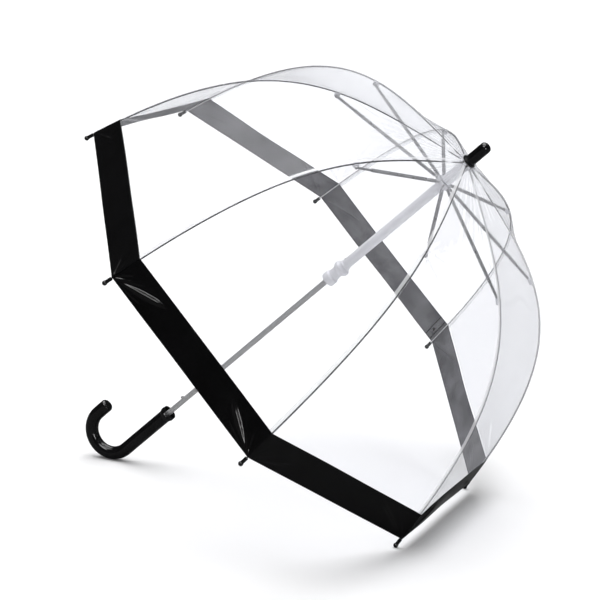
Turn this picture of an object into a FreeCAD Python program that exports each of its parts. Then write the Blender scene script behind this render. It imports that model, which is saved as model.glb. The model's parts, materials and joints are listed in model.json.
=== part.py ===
"""Clear bubble umbrella, open and lying on its side: eight ribs, a welded film dome and a crook handle.

Every piece is drawn about the shaft: its axis is local +Z towards the crown, with z = 0 in the plane
of the rim. One lean then lays the whole umbrella down on two rib tips and the bend of the crook.
"""
import FreeCAD, Part
import math
import os

import Sketcher
from FreeCAD import Placement, Rotation, Vector

doc = FreeCAD.newDocument("bubble_umbrella")
sheet = doc.addObject("Spreadsheet::Sheet", "dims")

# Driving dimensions, in millimetres unless the name says otherwise.
DIMENSIONS = [
    ("rib_count", 8, "ribs, panels and stretchers"),
    # The dome's section along a rib: one Bezier curve with four poles, (radius, height).
    ("rim_radius", 330, "rib end, in the plane of the rim"),
    ("flank_radius", 266.5, "third pole"),
    ("flank_height", 253, "third pole"),
    ("shoulder_radius", 170.4, "second pole"),
    ("shoulder_height", 268.5, "second pole"),
    ("top_radius", 10, "first pole, beside the crown"),
    ("top_height", 306, "first pole, the height of the dome"),
    # Film.
    ("film_thickness", 0.3, "clear film and its coloured border"),
    ("film_gap", 0.5, "between a rib's wire and the film"),
    ("seam_gap", 0.5, "between neighbouring panels at a rib"),
    ("border_height", 38, "height of the coloured border above the rim"),
    ("patch_radius", 14, "round patch that closes the film at the crown"),
    ("patch_thickness", 0.5, "round patch"),
    ("patch_drop", 2.1, "how far the patch slopes down to its edge"),
    # Ribs.
    ("wire_radius", 0.9, "rib wire"),
    ("eye_radius", 1.9, "flattened eye at a rib's top end"),
    ("eye_thickness", 2, "flattened eye at a rib's top end"),
    ("eye_hole_radius", 0.8, "hole for the ring wire"),
    ("ring_wire_radius", 0.5, "ring wires that the eyes turn on"),
    ("clip_arc", 165.5, "along the rib from the dome's top to the stretcher's clip"),
    ("clip_length", 7, "clip"),
    ("clip_width", 3.8, "clip"),
    ("clip_depth", 5, "clip, from its inner edge to its outer one"),
    ("clip_cover", 0.4, "clip, outside the wire's axis"),
    ("pivot_inset", 3.2, "from the wire's axis in to the stretcher's pivot"),
    ("tip_gap", 1.5, "between the film's corner and the tip cap"),
    ("tip_radius", 2.2, "tip cap's sleeve"),
    ("tip_length", 9.5, "tip cap's sleeve"),
    ("tip_ball_radius", 3, "rounded end of the tip cap"),
    ("tip_bore_depth", 6, "blind bore of the tip cap"),
    # Shaft.
    ("tube_radius", 3.5, "shaft tube, outside"),
    ("tube_bore_radius", 3, "shaft tube, inside"),
    ("tube_top", 332, "upper end of the tube, inside the ferrule"),
    ("tube_in_handle", 34, "length of tube inside the handle"),
    # Crown hub and ferrule.
    ("crown_ring_radius", 7.5, "circle of the ribs' pivots"),
    ("hub_radius", 9.3, "toothed disc"),
    ("hub_above", 3, "disc above the pivots"),
    ("hub_below", 3.2, "disc below the pivots"),
    ("hub_neck_radius", 7, "neck below the disc"),
    ("hub_neck_length", 30, "neck below the disc"),
    ("hub_slot_width", 3, "slot for a rib's eye"),
    ("hub_slot_floor", 5.2, "slot's inner end, from the axis"),
    ("groove_half_width", 0.6, "groove that holds a ring wire"),
    ("groove_below", 0.55, "groove's floor below the ring wire's circle"),
    ("ferrule_radius", 7.1, "ferrule body"),
    ("ferrule_length", 32.4, "ferrule, flange included"),
    ("ferrule_flange_radius", 9, "ferrule flange"),
    ("ferrule_flange_height", 2, "ferrule flange"),
    ("ferrule_round", 5, "rounding of the ferrule's end"),
    # Runner, drawn down from the circle of the stretchers' pivots.
    ("ring_depth", 36.8, "stretchers' pivots below the dome's top"),
    ("runner_ring_radius", 9, "circle of the stretchers' pivots"),
    ("runner_disc_radius", 10.5, "toothed disc"),
    ("runner_disc_half", 2.6, "half the disc's height"),
    ("runner_slot_width", 2.2, "slot for a stretcher's tongue"),
    ("runner_slot_floor", 6.7, "slot's inner end, from the axis"),
    ("runner_bore_radius", 3.58, "running fit on the tube"),
    ("runner_radius", 6.2, "sleeve, outside"),
    ("runner_length", 199, "from the pivots' circle to the lower end"),
    ("lip_down", 167, "lip above the finger collar, below the pivots' circle"),
    ("lip_radius", 7.4, "lip"),
    ("collar_down", 171.5, "upper flange of the finger collar"),
    ("collar_radius", 10.5, "upper flange of the finger collar"),
    ("collar_thickness", 4, "upper flange of the finger collar"),
    ("waist_radius", 7.4, "waist of the finger collar"),
    ("foot_length", 9, "lower flange of the finger collar"),
    ("foot_radius", 9.4, "lower flange of the finger collar"),
    ("window_down", 161, "catch window, below the pivots' circle"),
    ("window_radius", 2.8, "catch window"),
    # Stretchers.
    ("tongue_thickness", 1.4, "flattened inner end"),
    ("tongue_height", 3, "flattened ends"),
    ("channel_start", 7, "from the inner pivot to the channel"),
    ("channel_end_gap", 27, "from the channel to the outer pivot"),
    ("channel_width", 3.2, "channel"),
    ("channel_depth", 3, "channel"),
    ("channel_wall", 0.6, "channel"),
    ("outer_eye_radius", 2.4, "round outer end"),
    ("outer_thickness", 1.2, "flattened outer end"),
    ("outer_offset", 3.4, "outer end's sideways offset from the rib"),
    # Catches: each is a spring blade inside the tube with a nose that stands out.
    ("catch_blade_length", 26, "spring blade"),
    ("catch_blade_width", 2.4, "spring blade"),
    ("catch_blade_thickness", 0.5, "spring blade"),
    ("catch_blade_inner", 1.7, "spring blade's near face, from the axis"),
    ("catch_nose_length", 4, "nose, along the shaft"),
    ("catch_nose_width", 2.2, "nose"),
    ("top_nose_reach", 6.6, "upper nose's face, from the axis"),
    ("bottom_nose_reach", 5.8, "lower nose's face, from the axis"),
    ("catch_slot_width", 3, "slot in the tube"),
    ("catch_slot_length", 6, "slot in the tube"),
    ("bottom_catch_depth", 499, "lower nose below the dome's top"),
    # Crook handle.
    ("handle_depth", 528, "top of the handle below the dome's top"),
    ("grip_radius", 8.5, "handle tube"),
    ("grip_length", 86, "from the handle's top to the bend"),
    ("bend_radius", 30, "bend, on its centre line"),
    ("hook_length", 12, "straight end of the hook"),
    ("cap_length", 8, "cap on the hook's end"),
    ("cap_plug_radius", 5, "cap's plug inside the hook"),
    ("cap_plug_length", 6, "cap's plug inside the hook"),
    ("flare_radius", 10, "flared top of the handle"),
    ("flare_height", 5, "flared top of the handle"),
    ("flare_taper", 4, "slope under the flared top"),
    ("mouth_radius", 6, "recess round the tube"),
    ("mouth_depth", 5, "recess round the tube"),
    ("notch_width", 5, "notches across the flared top"),
    ("notch_depth", 3, "notches across the flared top"),
    # Tie strap, folded against the border's inside beside a rib.
    ("strap_width", 10, "tie strap"),
    ("strap_thickness", 0.8, "tie strap"),
    ("strap_from_rib", 5, "tie strap's near edge, from the rib"),
    ("strap_margin", 1.5, "tie strap short of the border, top and bottom"),
]
for row, (name, amount, note) in enumerate(DIMENSIONS, start=1):
    sheet.set(f"A{row}", name.replace("_", " "))
    sheet.set(f"B{row}", str(amount))
    sheet.set(f"C{row}", note)
    sheet.setAlias(f"B{row}", name)
doc.recompute()


def size(name):
    """A driving dimension."""
    return float(sheet.get(name))


def bound(names):
    """An expression over the sheet: each word becomes a reference to its cell."""
    words = []
    for word in names.split():
        words.append(f"dims.{word}" if word[0].isalpha() else word)
    return " ".join(words)


def value(names):
    """What such an expression comes to."""
    return float(sheet.evalExpression(bound(names)))


# --- the frame: the umbrella leans over until two tips and the crook's bend meet the floor ---

RIB_COUNT = int(size("rib_count"))
PITCH = 360.0 / RIB_COUNT
DOME_POLES = [
    Vector(size("top_radius"), 0, size("top_height")),
    Vector(size("shoulder_radius"), 0, size("shoulder_height")),
    Vector(size("flank_radius"), 0, size("flank_height")),
    Vector(size("rim_radius"), 0, 0),
]
TOP_SLOPE = (DOME_POLES[1] - DOME_POLES[0]).normalize()
RIM_SLOPE = (DOME_POLES[3] - DOME_POLES[2]).normalize()
CROWN_PIVOT = DOME_POLES[0] - TOP_SLOPE * ((size("top_radius") - size("crown_ring_radius")) / TOP_SLOPE.x)
RUNNER_PIVOT = Vector(size("runner_ring_radius"), 0, size("top_height") - size("ring_depth"))
HANDLE_TOP = size("top_height") - size("handle_depth")
TIP_BALL = DOME_POLES[3] + RIM_SLOPE * (size("tip_gap") + size("tip_length"))


def floor_lean():
    """Degrees between the shaft and upright when the tips and the bend both touch the floor."""
    tip_x = TIP_BALL.x * math.cos(math.radians(PITCH / 2))
    bend_x = -size("bend_radius")
    bend_z = HANDLE_TOP - size("grip_length")
    across = math.atan2(TIP_BALL.z - bend_z, tip_x - bend_x)
    apart = math.hypot(TIP_BALL.z - bend_z, tip_x - bend_x)
    rise = size("tip_ball_radius") - size("bend_radius") - size("grip_radius")
    return math.degrees(across - math.asin(rise / apart))


LEAN = floor_lean()
LAID = Placement(Vector(0, 0, 0), Rotation(Vector(0, 1, 0), LEAN))
pieces = []


def azimuth(position):
    """The angle round the shaft of rib number position; halves fall between ribs."""
    return (position - (RIB_COUNT + 1) / 2) * PITCH


def about_shaft(degrees):
    return Placement(Vector(0, 0, 0), Rotation(Vector(0, 0, 1), degrees))


def finish(piece, label, local=Placement()):
    """Names a piece and puts it in its place about the shaft, in the laid-down frame."""
    piece.Label = label
    piece.Placement = LAID.multiply(local)
    pieces.append(piece)
    return piece


# --- sketches ---


def origin_plane(body, role):
    for feature in body.Origin.OriginFeatures:
        if feature.Role == role:
            return feature
    raise ValueError(role)


def new_sketch(body, name, role, lift=None, turn=0):
    """A sketch on one of the body's own planes, turned in it and raised off it if asked."""
    sketch = body.newObject("Sketcher::SketchObject", name)
    sketch.AttachmentSupport = [(origin_plane(body, role), "")]
    sketch.MapMode = "FlatFace"
    sketch.AttachmentOffset = about_shaft(turn)
    if lift:
        sketch.setExpression("AttachmentOffset.Base.z", bound(lift))
    return sketch


def place_point(sketch, edge, end, along, up):
    """Ties one end of a line to (along, up), both expressions over the sheet; 0 is an axis."""
    for names, kind, axis in ((along, "DistanceX", -2), (up, "DistanceY", -1)):
        if names == "0":
            sketch.addConstraint(Sketcher.Constraint("PointOnObject", edge, end, axis))
            continue
        index = sketch.addConstraint(Sketcher.Constraint(kind, -1, 1, edge, end, value(names)))
        sketch.setExpression(f"Constraints[{index}]", bound(names))


def outline(sketch, corners):
    """A closed outline of straight lines through corners given as pairs of expressions."""
    spots = [Vector(value(along), value(up), 0) for along, up in corners]
    first = sketch.GeometryCount
    count = len(spots)
    for number, spot in enumerate(spots):
        sketch.addGeometry(Part.LineSegment(spot, spots[(number + 1) % count]), False)
    for number, (along, up) in enumerate(corners):
        before = first + (number - 1) % count
        sketch.addConstraint(Sketcher.Constraint("Coincident", before, 2, first + number, 1))
        place_point(sketch, first + number, 1, along, up)


def disc(sketch, radius, along="0", up="0"):
    """A circle; its radius and centre are expressions."""
    centre = Vector(value(along), value(up), 0)
    edge = sketch.addGeometry(Part.Circle(centre, Vector(0, 0, 1), value(radius)), False)
    index = sketch.addConstraint(Sketcher.Constraint("Radius", edge, value(radius)))
    sketch.setExpression(f"Constraints[{index}]", bound(radius))
    place_point(sketch, edge, 3, along, up)


def new_body(name):
    return doc.addObject("PartDesign::Body", name)


def revolve(body, name, corners, feature="PartDesign::Revolution"):
    """Turns an outline of (radius, height) corners about the body's own Z axis."""
    sketch = new_sketch(body, name + "_outline", "XZ_Plane")
    outline(sketch, corners)
    turned = body.newObject(feature, name)
    turned.Profile = sketch
    turned.ReferenceAxis = (sketch, ["V_Axis"])
    turned.Angle = 360
    return turned


def extrude(body, name, sketch, length, feature="PartDesign::Pad", both_ways=False, reverse=False):
    grown = body.newObject(feature, name)
    grown.Profile = sketch
    grown.setExpression("Length", bound(length))
    grown.Midplane = both_ways
    grown.Reversed = reverse
    return grown


def pattern_round(body, name, feature, sketch, count):
    """Repeats one feature round the axis that the sketch's normal gives."""
    around = body.newObject("PartDesign::PolarPattern", name)
    around.Originals = [feature]
    around.Axis = (sketch, ["N_Axis"])
    around.Angle = 360
    around.Occurrences = count
    body.Tip = around
    return around


# --- the dome's curve ---


def dome_curve(outward, narrowing=1.0):
    """The dome's section moved outward; narrowing is 1 along a rib and less between ribs."""
    top_normal = Vector(-TOP_SLOPE.z, 0, TOP_SLOPE.x)
    rim_normal = Vector(-RIM_SLOPE.z, 0, RIM_SLOPE.x)
    normals = [top_normal, top_normal, rim_normal, rim_normal]
    poles = []
    for pole, normal in zip(DOME_POLES, normals):
        moved = pole + normal * outward
        poles.append(Vector(moved.x * narrowing, 0, moved.z))
    curve = Part.BezierCurve()
    curve.setPoles(poles)
    return curve.toShape()


def clip_place():
    """Where the clip sits on a rib: on the wire's axis, with local +X along the rib to the rim."""
    edge = dome_curve(0)
    at = edge.getParameterByLength(size("clip_arc"))
    along = edge.tangentAt(at)
    turn = math.degrees(math.atan2(-along.z, along.x))
    return Placement(edge.valueAt(at), Rotation(Vector(0, 1, 0), turn))


CLIP = clip_place()
RIB_PIVOT = CLIP.multVec(Vector(0, 0, -size("pivot_inset")))
STRETCH = RIB_PIVOT - RUNNER_PIVOT


# --- shaft group ---


def make_shaft_tube():
    body = new_body("shaft_tube")
    foot = "top_height - handle_depth - tube_in_handle"
    section = new_sketch(body, "tube_section", "XY_Plane", foot)
    disc(section, "tube_radius")
    disc(section, "tube_bore_radius")
    extrude(body, "tube", section, "tube_top - ( " + foot + " )")
    for name, height in (
        ("bottom_slot", "top_height - bottom_catch_depth"),
        ("top_slot", "top_height - ring_depth - window_down"),
    ):
        slot = new_sketch(body, name + "_outline", "YZ_Plane")
        outline(
            slot,
            [
                ("- catch_slot_width / 2", height + " - catch_slot_length / 2"),
                ("catch_slot_width / 2", height + " - catch_slot_length / 2"),
                ("catch_slot_width / 2", height + " + catch_slot_length / 2"),
                ("- catch_slot_width / 2", height + " + catch_slot_length / 2"),
            ],
        )
        extrude(body, name, slot, "tube_radius + tube_bore_radius", "PartDesign::Pocket")
    return finish(body, "shaft_tube")


def make_crown_hub():
    """Toothed disc that carries the ribs, on a neck round the tube; drawn from the pivots' circle."""
    body = new_body("crown_hub")
    revolve(
        body,
        "hub",
        [
            ("tube_radius", "hub_above"),
            ("hub_radius", "hub_above"),
            ("hub_radius", "- hub_below"),
            ("hub_neck_radius", "- hub_below"),
            ("hub_neck_radius", "- hub_below - hub_neck_length"),
            ("tube_radius", "- hub_below - hub_neck_length"),
        ],
    )
    revolve(
        body,
        "wire_groove",
        [
            ("crown_ring_radius - groove_half_width", "- groove_below"),
            ("crown_ring_radius + groove_half_width", "- groove_below"),
            ("crown_ring_radius + groove_half_width", "hub_above + 1"),
            ("crown_ring_radius - groove_half_width", "hub_above + 1"),
        ],
        "PartDesign::Groove",
    )
    slot = new_sketch(body, "rib_slot_outline", "XY_Plane", "hub_above")
    outline(slot, slot_corners("hub_slot_floor", "hub_radius + 1", "hub_slot_width"))
    cut = extrude(body, "rib_slot", slot, "hub_above + hub_below", "PartDesign::Pocket")
    pattern_round(body, "rib_slots", cut, slot, RIB_COUNT)
    place = Placement(Vector(0, 0, CROWN_PIVOT.z), Rotation(Vector(0, 0, 1), azimuth(1)))
    return finish(body, "crown_hub", place)


def slot_corners(inner, outer, width):
    return [
        (inner, f"- {width} / 2"),
        (outer, f"- {width} / 2"),
        (outer, f"{width} / 2"),
        (inner, f"{width} / 2"),
    ]


def make_ring_wire(label, radius, height):
    wire = doc.addObject("Part::Torus", label)
    wire.setExpression("Radius1", bound(radius))
    wire.setExpression("Radius2", bound("ring_wire_radius"))
    return finish(wire, label, Placement(Vector(0, 0, height), Rotation()))


def make_crown_patch():
    body = new_body("crown_patch")
    revolve(
        body,
        "patch",
        [
            ("tube_radius", "0"),
            ("hub_radius + 0.3", "0"),
            ("patch_radius", "- patch_drop"),
            ("patch_radius", "patch_thickness - patch_drop"),
            ("hub_radius + 0.3", "patch_thickness"),
            ("tube_radius", "patch_thickness"),
        ],
    )
    return finish(body, "crown_patch", Placement(Vector(0, 0, CROWN_PIVOT.z + size("hub_above")), Rotation()))


def make_ferrule():
    body = new_body("ferrule")
    base = CROWN_PIVOT.z + size("hub_above") + size("patch_thickness")
    socket = f"tube_top - {base}"
    turned = revolve(
        body,
        "ferrule_body",
        [
            ("tube_radius", "0"),
            ("ferrule_flange_radius", "0"),
            ("ferrule_flange_radius", "ferrule_flange_height"),
            ("ferrule_radius", "ferrule_flange_height + 0.8"),
            ("ferrule_radius", "ferrule_length"),
            ("0", "ferrule_length"),
            ("0", socket),
            ("tube_radius", socket),
        ],
    )
    doc.recompute()
    end_edge = edge_at(turned, size("ferrule_radius"), size("ferrule_length"))
    rounded = body.newObject("PartDesign::Fillet", "rounded_end")
    rounded.Base = (turned, [end_edge])
    rounded.setExpression("Radius", bound("ferrule_round"))
    return finish(body, "ferrule", Placement(Vector(0, 0, base), Rotation()))


def edge_at(feature, radius, height):
    """The name of the round edge of that radius at that height."""
    for number, edge in enumerate(feature.Shape.Edges, start=1):
        round_edge = isinstance(edge.Curve, Part.Circle)
        if round_edge and abs(edge.Curve.Radius - radius) < 0.01 and abs(edge.Curve.Center.z - height) < 0.01:
            return f"Edge{number}"
    raise ValueError((radius, height))


def make_handle():
    """The crook: a straight grip, a half-turn bend and a short straight end."""
    body = new_body("crook_handle")
    path = new_sketch(body, "crook_path", "XZ_Plane")
    grip, bend, hook = size("grip_length"), size("bend_radius"), size("hook_length")
    start, low = Vector(0, -size("flare_height"), 0), Vector(0, -grip, 0)
    far_low, end = Vector(-2 * bend, -grip, 0), Vector(-2 * bend, hook - grip, 0)
    path.addGeometry(Part.LineSegment(start, low), False)
    round_bend = Part.Circle(Vector(-bend, -grip, 0), Vector(0, 0, 1), bend)
    path.addGeometry(Part.ArcOfCircle(round_bend, math.pi, 2 * math.pi), False)
    path.addGeometry(Part.LineSegment(far_low, end), False)
    path.addConstraint(Sketcher.Constraint("Vertical", 2))
    path.addConstraint(Sketcher.Constraint("Tangent", 0, 2, 1, 2))
    path.addConstraint(Sketcher.Constraint("Tangent", 1, 1, 2, 1))
    place_point(path, 0, 1, "0", "- flare_height")
    place_point(path, 0, 2, "0", "- grip_length")
    radius = path.addConstraint(Sketcher.Constraint("Radius", 1, bend))
    path.setExpression(f"Constraints[{radius}]", bound("bend_radius"))
    rise = path.addConstraint(Sketcher.Constraint("DistanceY", 2, 1, 2, 2, hook))
    path.setExpression(f"Constraints[{rise}]", bound("hook_length"))
    section = new_sketch(body, "crook_section", "XY_Plane", "- flare_height")
    disc(section, "grip_radius")
    tube = body.newObject("PartDesign::AdditivePipe", "crook_tube")
    tube.Profile = section
    tube.Spine = path
    revolve(
        body,
        "flare",
        [
            ("0", "- flare_height - flare_taper"),
            ("grip_radius", "- flare_height - flare_taper"),
            ("flare_radius", "- flare_height"),
            ("flare_radius", "0"),
            ("0", "0"),
        ],
    )
    revolve(
        body,
        "mouth_and_socket",
        [
            ("0", "- tube_in_handle"),
            ("tube_radius", "- tube_in_handle"),
            ("tube_radius", "- mouth_depth"),
            ("mouth_radius", "- mouth_depth"),
            ("mouth_radius", "1"),
            ("0", "1"),
        ],
        "PartDesign::Groove",
    )
    notch = new_sketch(body, "notch_outline", "XY_Plane")
    outline(notch, slot_corners("mouth_radius - 1", "flare_radius + 1", "notch_width"))
    cut = extrude(body, "notch", notch, "notch_depth", "PartDesign::Pocket")
    pattern_round(body, "notches", cut, notch, 4)
    plug = new_sketch(body, "plug_bore_outline", "XY_Plane", "hook_length - grip_length")
    disc(plug, "cap_plug_radius", "- 2 * bend_radius")
    extrude(body, "plug_bore", plug, "cap_plug_length", "PartDesign::Pocket")
    return finish(body, "crook_handle", Placement(Vector(0, 0, HANDLE_TOP), Rotation()))


def make_hook_cap():
    """A rounded cap that plugs the open end of the crook."""
    body = new_body("hook_cap")
    turned = revolve(
        body,
        "cap",
        [
            ("0", "- cap_plug_length"),
            ("cap_plug_radius", "- cap_plug_length"),
            ("cap_plug_radius", "0"),
            ("grip_radius", "0"),
            ("grip_radius", "cap_length"),
            ("0", "cap_length"),
        ],
    )
    doc.recompute()
    rounded = body.newObject("PartDesign::Fillet", "cap_rounding")
    rounded.Base = (turned, [edge_at(turned, size("grip_radius"), size("cap_length"))])
    rounded.setExpression("Radius", bound("cap_length / 2"))
    top = HANDLE_TOP - size("grip_length") + size("hook_length")
    return finish(body, "hook_cap", Placement(Vector(-2 * size("bend_radius"), 0, top), Rotation()))


def make_catch(label, reach, height):
    """A blade against the tube's inside, with a nose out through the tube on the crook's side."""
    body = new_body(label)
    blade = new_sketch(body, "blade_outline", "XY_Plane", "- catch_blade_length / 2")
    outline(
        blade,
        [
            ("- catch_blade_inner - catch_blade_thickness", "- catch_blade_width / 2"),
            ("- catch_blade_inner", "- catch_blade_width / 2"),
            ("- catch_blade_inner", "catch_blade_width / 2"),
            ("- catch_blade_inner - catch_blade_thickness", "catch_blade_width / 2"),
        ],
    )
    extrude(body, "blade", blade, "catch_blade_length")
    nose = new_sketch(body, "nose_outline", "XZ_Plane")
    outline(
        nose,
        [
            ("- catch_blade_inner", "- catch_nose_length / 2"),
            ("- catch_blade_inner", "catch_nose_length / 2"),
            (f"- {reach} + 1.5", "catch_nose_length / 2"),
            (f"- {reach}", "0"),
            (f"- {reach}", "- catch_nose_length / 2"),
        ],
    )
    extrude(body, "nose", nose, "catch_nose_width", both_ways=True)
    return finish(body, label, Placement(Vector(0, 0, height), Rotation()))


# --- runner group ---


def make_runner():
    """The long sleeve that slides on the tube, drawn down from the stretchers' pivots."""
    body = new_body("runner_sleeve")
    revolve(
        body,
        "sleeve",
        [
            ("runner_bore_radius", "runner_disc_half"),
            ("runner_disc_radius", "runner_disc_half"),
            ("runner_disc_radius", "- runner_disc_half"),
            ("runner_radius", "- runner_disc_half - 1.5"),
            ("runner_radius", "- lip_down + 1.5"),
            ("lip_radius", "- lip_down"),
            ("lip_radius", "- lip_down - 1"),
            ("runner_radius", "- lip_down - 1.5"),
            ("collar_radius", "- collar_down"),
            ("collar_radius", "- collar_down - collar_thickness"),
            ("waist_radius", "- collar_down - collar_thickness - 4"),
            ("waist_radius", "- runner_length + foot_length + 2"),
            ("foot_radius", "- runner_length + foot_length"),
            ("foot_radius", "- runner_length + 1"),
            ("foot_radius - 1", "- runner_length"),
            ("runner_bore_radius", "- runner_length"),
        ],
    )
    revolve(
        body,
        "wire_groove",
        [
            ("runner_ring_radius - groove_half_width", "- groove_below"),
            ("runner_ring_radius + groove_half_width", "- groove_below"),
            ("runner_ring_radius + groove_half_width", "runner_disc_half + 1"),
            ("runner_ring_radius - groove_half_width", "runner_disc_half + 1"),
        ],
        "PartDesign::Groove",
    )
    window = new_sketch(body, "window_outline", "YZ_Plane")
    disc(window, "window_radius", "0", "- window_down")
    extrude(body, "window", window, "runner_disc_radius", "PartDesign::Pocket")
    # The window faces away from the floor, between the slots of two ribs.
    slot = new_sketch(body, "tongue_slot_outline", "XY_Plane", "runner_disc_half", turn=PITCH / 2)
    outline(slot, slot_corners("runner_slot_floor", "runner_disc_radius + 1", "runner_slot_width"))
    cut = extrude(body, "tongue_slot", slot, "2 * runner_disc_half + 1.5", "PartDesign::Pocket")
    pattern_round(body, "tongue_slots", cut, slot, RIB_COUNT)
    return finish(body, "runner_sleeve", Placement(Vector(0, 0, RUNNER_PIVOT.z), Rotation()))


# --- ribs, with their clips and tips ---


def make_rib(number):
    """A wire along the dome, with a flattened eye on the crown's ring wire."""
    near_eye = CROWN_PIVOT + TOP_SLOPE * (size("eye_radius") - 0.6)
    path = Part.Wire(
        [
            Part.makeLine(near_eye, DOME_POLES[0]),
            dome_curve(0),
            Part.makeLine(DOME_POLES[3], DOME_POLES[3] + RIM_SLOPE * (size("tip_gap") + size("tip_bore_depth"))),
        ]
    )
    section = Part.Wire([Part.makeCircle(size("wire_radius"), near_eye, TOP_SLOPE)])
    wire = path.makePipeShell([section], True, True)
    half = Vector(0, size("eye_thickness") / 2, 0)
    across = Vector(0, 1, 0)
    eye = Part.makeCylinder(size("eye_radius"), size("eye_thickness"), CROWN_PIVOT - half, across)
    hole = Part.makeCylinder(size("eye_hole_radius"), 2 * size("eye_thickness"), CROWN_PIVOT - half * 2, across)
    rib = doc.addObject("Part::Feature", f"rib_{number}")
    rib.Shape = wire.fuse(eye).cut(hole).removeSplitter()
    return finish(rib, f"rib_{number}", about_shaft(azimuth(number)))


def make_clip(number):
    """A saddle on the wire's inner side, where the stretcher's outer end pivots."""
    block = doc.addObject("Part::Box", f"clip_block_{number}")
    block.setExpression("Length", bound("clip_length"))
    block.setExpression("Width", bound("clip_width"))
    block.setExpression("Height", bound("clip_depth"))
    block.setExpression("Placement.Base.x", bound("- clip_length / 2"))
    block.setExpression("Placement.Base.y", bound("- clip_width / 2"))
    block.setExpression("Placement.Base.z", bound("clip_cover - clip_depth"))
    bore = doc.addObject("Part::Cylinder", f"clip_bore_{number}")
    bore.setExpression("Radius", bound("wire_radius + 0.05"))
    bore.setExpression("Height", bound("clip_length + 2"))
    bore.Placement = Placement(Vector(-size("clip_length") / 2 - 1, 0, 0), Rotation(Vector(0, 1, 0), 90))
    clip = doc.addObject("Part::Cut", f"rib_clip_{number}")
    clip.Base = block
    clip.Tool = bore
    return finish(clip, f"rib_clip_{number}", about_shaft(azimuth(number)).multiply(CLIP))


def make_tip(number):
    """A cap with a rounded end on the rib's outer end, drawn along local +Z."""
    body = new_body(f"rib_tip_{number}")
    revolve(
        body,
        "cap",
        [
            ("0", "tip_bore_depth"),
            ("wire_radius", "tip_bore_depth"),
            ("wire_radius", "0"),
            ("tip_radius", "0"),
            ("tip_radius", "tip_length"),
            ("0", "tip_length"),
        ],
    )
    ball = body.newObject("PartDesign::AdditiveSphere", "ball")
    ball.AttachmentSupport = [(origin_plane(body, "XY_Plane"), "")]
    ball.MapMode = "FlatFace"
    ball.setExpression("Radius", bound("tip_ball_radius"))
    ball.setExpression("AttachmentOffset.Base.z", bound("tip_length"))
    start = DOME_POLES[3] + RIM_SLOPE * size("tip_gap")
    place = Placement(start, Rotation(Vector(0, 0, 1), RIM_SLOPE))
    return finish(body, f"rib_tip_{number}", about_shaft(azimuth(number)).multiply(place))


# --- stretchers ---


def make_stretcher(number):
    """A folded channel from the runner to a rib, drawn along local +X from the inner pivot."""
    body = new_body(f"stretcher_{number}")
    reach = STRETCH.Length
    channel_length = f"{reach} - channel_start - channel_end_gap"
    section = new_sketch(body, "channel_section", "YZ_Plane", "channel_start")
    outline(
        section,
        [
            ("- channel_width / 2", "- channel_depth / 2"),
            ("- channel_width / 2 + channel_wall", "- channel_depth / 2"),
            ("- channel_width / 2 + channel_wall", "channel_depth / 2 - channel_wall"),
            ("channel_width / 2 - channel_wall", "channel_depth / 2 - channel_wall"),
            ("channel_width / 2 - channel_wall", "- channel_depth / 2"),
            ("channel_width / 2", "- channel_depth / 2"),
            ("channel_width / 2", "channel_depth / 2"),
            ("- channel_width / 2", "channel_depth / 2"),
        ],
    )
    extrude(body, "channel", section, channel_length)
    inner = new_sketch(body, "inner_tongue_outline", "XZ_Plane")
    outline(
        inner,
        [
            ("0", "- tongue_height / 2"),
            ("channel_start + 6", "- tongue_height / 2"),
            ("channel_start + 6", "tongue_height / 2"),
            ("0", "tongue_height / 2"),
        ],
    )
    extrude(body, "inner_tongue", inner, "tongue_thickness", both_ways=True)
    inner_eye = new_sketch(body, "inner_eye_outline", "XZ_Plane")
    disc(inner_eye, "eye_radius")
    extrude(body, "inner_eye", inner_eye, "tongue_thickness", both_ways=True)
    outer = new_sketch(body, "outer_tongue_outline", "XZ_Plane")
    outline(
        outer,
        [
            (f"{reach} - channel_end_gap - 6", "- tongue_height / 2"),
            (f"{reach}", "- tongue_height / 2"),
            (f"{reach}", "tongue_height / 2"),
            (f"{reach} - channel_end_gap - 6", "tongue_height / 2"),
        ],
    )
    extrude(body, "outer_tongue", outer, "outer_thickness", both_ways=True)
    outer_eye = new_sketch(body, "outer_eye_outline", "XZ_Plane")
    disc(outer_eye, "outer_eye_radius", f"{reach}")
    extrude(body, "outer_eye", outer_eye, "outer_thickness", both_ways=True)
    inner_hole = new_sketch(body, "inner_hole_outline", "XZ_Plane")
    disc(inner_hole, "eye_hole_radius")
    extrude(body, "inner_hole", inner_hole, "3 * tongue_thickness", "PartDesign::Pocket", both_ways=True)
    outer_hole = new_sketch(body, "outer_hole_outline", "XZ_Plane")
    disc(outer_hole, "eye_hole_radius", f"{reach}")
    extrude(body, "outer_hole", outer_hole, "3 * outer_thickness", "PartDesign::Pocket", both_ways=True)
    down = math.degrees(math.atan2(-STRETCH.z, STRETCH.x))
    aside = math.degrees(math.asin(size("outer_offset") / reach))
    turn = Rotation(Vector(0, 1, 0), down).multiply(Rotation(Vector(0, 0, 1), aside))
    place = about_shaft(azimuth(number)).multiply(Placement(RUNNER_PIVOT, turn))
    return finish(body, f"stretcher_{number}", place)


# --- film panels ---


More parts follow.
